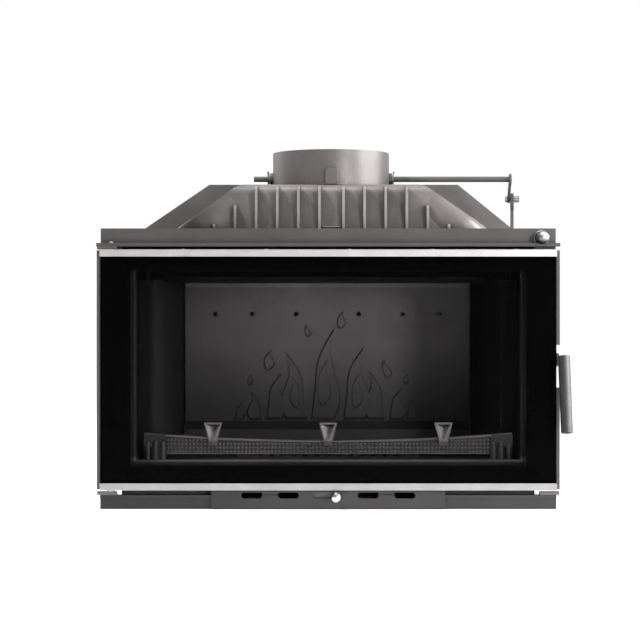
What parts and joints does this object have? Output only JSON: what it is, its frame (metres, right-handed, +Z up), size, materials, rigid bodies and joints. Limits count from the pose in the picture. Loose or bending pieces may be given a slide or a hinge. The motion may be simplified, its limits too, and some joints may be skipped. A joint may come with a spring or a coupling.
{
  "type": "fireplace insert",
  "caption": "Wide cast-iron fireplace insert with a glazed side-hung door, an air slider, a finned smoke hood and a flue damper worked by a pull knob.",
  "frame": {"origin": "on the floor, under the middle of the cast body", "axes": "+X to the viewer's right of the door, +Y to the back, +Z up; the door faces -Y"},
  "size_m": [0.7971, 0.4858, 0.618],
  "materials": {
    "grey_iron": "cast skin under warm grey heat-proof paint, half matt",
    "firebox_iron": "dark cast iron, fine grain, matt",
    "fastener_steel": "plain steel, dulled",
    "plate_steel": "black-grey sheet steel, matt",
    "linkage_steel": "dark grey bar steel, half matt",
    "bright_chrome": "turned and polished",
    "door_black": "black heat-proof paint, half matt",
    "dark_glass": "clear heat-proof glass with a black printed border",
    "gasket_black": "flat black woven glass tape",
    "trim_steel": "fine brushed along its length",
    "seal_rope": "grey woven glass rope",
    "handle_steel": "satin grey steel tube",
    "cap_black": "black end cap, matt"
  },
  "bodies": {
    "insert": {"base_chamber": "firebox_iron", "hearth_plate": "firebox_iron", "grate": "firebox_iron", "ash_pan": "plate_steel", "front_rail": "grey_iron", "slider_guides": "plate_steel", "front_rim": "grey_iron", "side_wall_left": "grey_iron", "side_wall_right": "grey_iron", "rear_wall": "grey_iron", "top_plate": "grey_iron", "front_beam": "grey_iron", "hood": "grey_iron", "hood_bolts": "fastener_steel", "flue_collar": "grey_iron", "collar_claws": "plate_steel", "collar_bolts": "fastener_steel", "back_lining": "firebox_iron", "side_lining_left": "firebox_iron", "side_lining_right": "firebox_iron", "baffle": "firebox_iron", "upper_baffle": "firebox_iron", "baffle_brackets": "firebox_iron", "log_fence": "firebox_iron", "hinge_bracket_top": "grey_iron", "hinge_bracket_bottom": "grey_iron", "door_rest": "grey_iron", "hinge_pins": "fastener_steel", "latch_keeper": "fastener_steel", "tie_rods": "fastener_steel", "rear_bolts": "fastener_steel", "rod_guide": "plate_steel", "guide_screw": "fastener_steel"},
    "air_control": {"air_slider": "plate_steel", "air_knob": "bright_chrome"},
    "damper_control": {"pull_rod": "linkage_steel", "pull_knob": "bright_chrome", "pull_link": "linkage_steel"},
    "damper": {"damper_shaft": "linkage_steel", "damper_disc": "firebox_iron", "disc_screws": "fastener_steel", "damper_crank": "linkage_steel", "crank_pin": "fastener_steel", "shaft_washers": "fastener_steel", "shaft_cotters": "fastener_steel"},
    "door": {"door_frame": "door_black", "door_glass": "dark_glass", "glass_gasket": "gasket_black", "trim_top": "trim_steel", "trim_bottom": "trim_steel", "trim_screws": "fastener_steel", "rope_seal": "seal_rope", "lever_bolt": "fastener_steel"},
    "handle": {"latch_lever": "linkage_steel", "handle_tube": "handle_steel", "handle_cap": "cap_black"}
  },
  "joints": [
    {"name": "door_hinge", "type": "hinge", "parent": "insert", "child": "door", "pos_m": [-0.367, -0.2135, 0.235], "axis": [0, 0, -1], "range_deg": [0, 110]},
    {"name": "handle_turn", "type": "hinge", "parent": "door", "child": "handle", "pos_m": [0.387, -0.2135, 0.252], "axis": [-1, 0, 0], "range_deg": [0, 35]},
    {"name": "air_slide", "type": "slide", "parent": "insert", "child": "air_control", "axis": [1, 0, 0], "range_m": [-0.034, 0]},
    {"name": "damper_pull", "type": "slide", "parent": "insert", "child": "damper_control", "axis": [0, -1, 0], "range_m": [0, 0.057]},
    {"name": "damper_turn", "type": "hinge", "parent": "insert", "child": "damper", "pos_m": [0.006, 0.008, 0.5726], "axis": [-1, 0, 0], "range_deg": [0, 80]}
  ],
  "couplings": [
    {"joint": "damper_turn", "follows": "damper_pull", "rad_per_m": 24.46}
  ]
}
